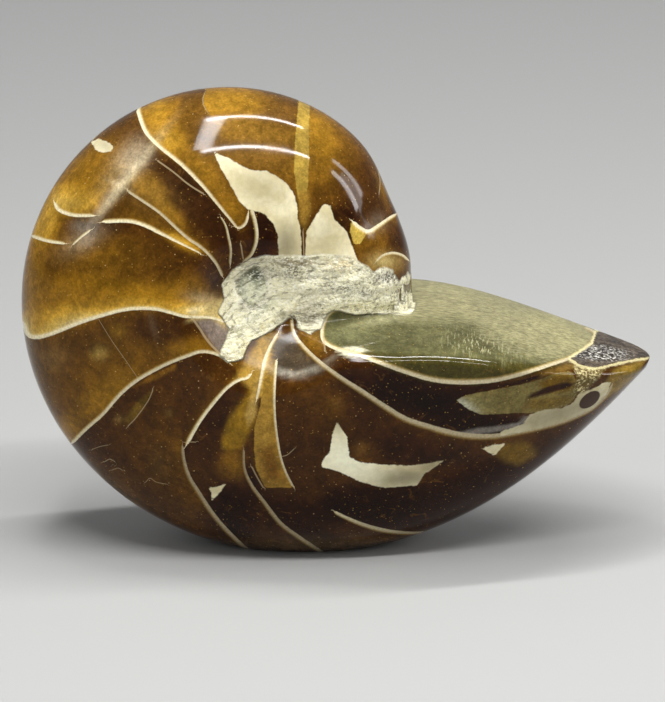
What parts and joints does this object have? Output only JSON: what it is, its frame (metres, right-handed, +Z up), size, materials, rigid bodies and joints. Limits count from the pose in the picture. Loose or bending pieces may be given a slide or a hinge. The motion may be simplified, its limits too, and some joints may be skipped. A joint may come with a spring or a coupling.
{
  "type": "polished fossil nautilus",
  "caption": "Whole coiled nautilus shell turned to stone and polished, with clear brown chambers and a grey-green mouth, that stands on its belly as an ornament.",
  "frame": {"origin": "on the ground, under the middle of the bounding box", "axes": "+X towards the tip of the mouth, +Y away from the camera, +Z up"},
  "size_m": [0.1101, 0.0482, 0.0825],
  "materials": {
    "stone": "polished"
  },
  "bodies": {
    "root": {"polished_nautilus": "stone"}
  },
  "joints": []
}
